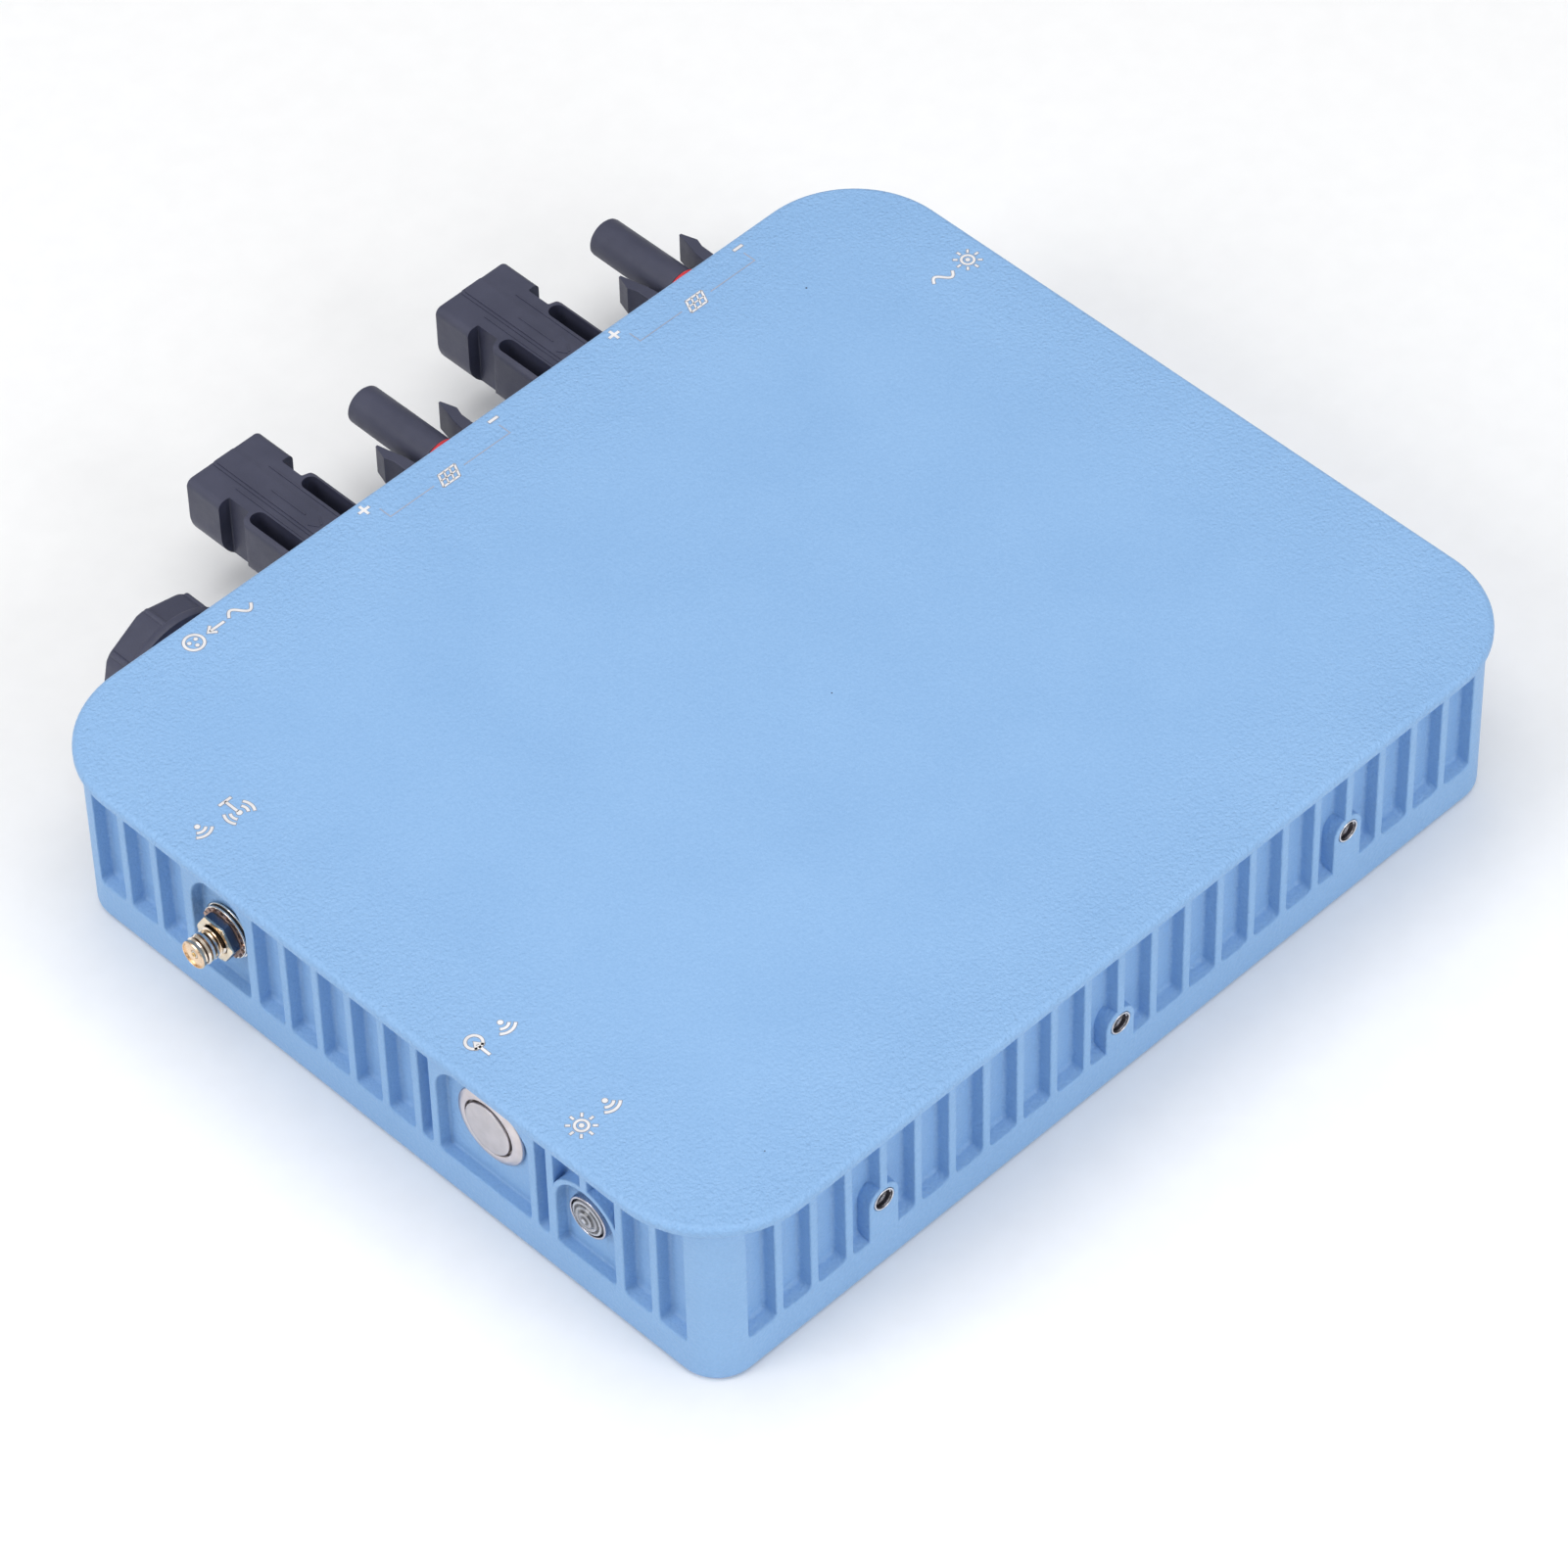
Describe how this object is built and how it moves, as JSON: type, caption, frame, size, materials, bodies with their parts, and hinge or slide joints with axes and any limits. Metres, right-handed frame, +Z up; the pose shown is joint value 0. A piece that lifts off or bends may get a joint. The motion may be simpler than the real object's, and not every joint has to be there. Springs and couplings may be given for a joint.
{
  "type": "micro inverter",
  "caption": "Flat grid-tied solar micro inverter: ribbed die-cast tray under an overhanging lid, with solar, AC and antenna sockets, a push button and lamps.",
  "frame": {"origin": "centre of the housing's underside, on the surface that it rests on", "axes": "+Z up through the lid, +Y out of the wall with the bracket threads, -Y out of the connector wall, +X out of the wall with the antenna socket and the button"},
  "size_m": [0.2249, 0.2258, 0.0453],
  "materials": {
    "blue_coat": "light blue powder coat with a fine orange-peel grain",
    "dark_plastic": "moulded, satin, dark blue-grey",
    "black_rubber": "matte",
    "red_rubber": "smooth silicone",
    "white_plastic": "moulded",
    "clear_lens": "clear, polished",
    "gold_plate": "gold plated, bright",
    "nickel": "nickel plated",
    "stainless": "turned stainless steel",
    "tin": "tinned copper alloy",
    "board_green": "solder resist",
    "ferrite": "ground ferrite and varnished winding",
    "capacitor_sleeve": "printed sleeve over aluminium",
    "relay_case": "moulded case"
  },
  "bodies": {
    "housing": {"housing_tray": "blue_coat", "lid_plate": "blue_coat", "lid_gasket": "black_rubber", "lid_screw_1": "stainless", "lid_screw_2": "stainless", "lid_screw_3": "stainless", "lid_screw_4": "stainless", "bracket_insert_1": "stainless", "bracket_insert_2": "stainless", "bracket_insert_3": "stainless", "antenna_jack_body": "gold_plate", "antenna_insulator": "white_plastic", "antenna_contact": "gold_plate", "antenna_seal_ring": "black_rubber", "antenna_lock_washer": "nickel", "antenna_hex_nut": "gold_plate", "button_bezel": "stainless", "button_switch_block": "black_rubber", "button_nut": "nickel", "wireless_lamp_bezel": "stainless", "wireless_lamp_lens": "clear_lens", "inverter_lamp_bezel": "stainless", "inverter_lamp_lens": "clear_lens", "solar_plus_housing_1": "dark_plastic", "solar_plus_housing_2": "dark_plastic", "solar_plus_pin_1": "tin", "solar_plus_pin_2": "tin", "solar_plus_nut_1": "dark_plastic", "solar_plus_nut_2": "dark_plastic", "solar_minus_housing_1": "dark_plastic", "solar_minus_housing_2": "dark_plastic", "solar_minus_seal_1": "red_rubber", "solar_minus_seal_2": "red_rubber", "solar_minus_contact_1": "tin", "solar_minus_contact_2": "tin", "solar_minus_nut_1": "dark_plastic", "solar_minus_nut_2": "dark_plastic", "ac_panel_body": "dark_plastic", "ac_contact_holder": "black_rubber", "ac_pin_line": "tin", "ac_pin_neutral": "tin", "ac_pin_earth": "tin", "ac_lock_nut": "dark_plastic", "circuit_board": "board_green", "board_screw_1": "nickel", "board_screw_2": "nickel", "board_screw_3": "nickel", "board_screw_4": "nickel", "transformer_1": "ferrite", "transformer_2": "ferrite", "bulk_capacitor_1": "capacitor_sleeve", "bulk_capacitor_2": "capacitor_sleeve", "grid_relay": "relay_case", "wireless_module": "nickel"},
    "button_cap": {"button_cap": "stainless"},
    "ac_coupling": {"ac_coupling_ring": "dark_plastic"},
    "latch_1_left": {"latch_arm_1_left": "dark_plastic"},
    "latch_1_right": {"latch_arm_1_right": "dark_plastic"},
    "latch_2_left": {"latch_arm_2_left": "dark_plastic"},
    "latch_2_right": {"latch_arm_2_right": "dark_plastic"}
  },
  "joints": [
    {"name": "button_press", "type": "slide", "parent": "housing", "child": "button_cap", "axis": [-1, 0, 0], "range_m": [0, 0.0012], "stiffness_N_per_m": 400, "springref_m": -0.003},
    {"name": "ac_coupling_turn", "type": "hinge", "parent": "housing", "child": "ac_coupling", "pos_m": [0.0662, -0.1, 0.0212], "axis": [0, -1, 0], "continuous": true},
    {"name": "latch_1_left_flex", "type": "hinge", "parent": "housing", "child": "latch_1_left", "pos_m": [-0.0021, -0.10555, 0.0212], "axis": [0, 0, -1], "range_deg": [0, 6], "stiffness_Nm_per_rad": 0.4},
    {"name": "latch_1_right_flex", "type": "hinge", "parent": "housing", "child": "latch_1_right", "pos_m": [-0.0165, -0.10555, 0.0212], "axis": [0, 0, 1], "range_deg": [0, 6], "stiffness_Nm_per_rad": 0.4},
    {"name": "latch_2_left_flex", "type": "hinge", "parent": "housing", "child": "latch_2_left", "pos_m": [-0.0696, -0.10555, 0.0212], "axis": [0, 0, -1], "range_deg": [0, 6], "stiffness_Nm_per_rad": 0.4},
    {"name": "latch_2_right_flex", "type": "hinge", "parent": "housing", "child": "latch_2_right", "pos_m": [-0.084, -0.10555, 0.0212], "axis": [0, 0, 1], "range_deg": [0, 6], "stiffness_Nm_per_rad": 0.4}
  ]
}
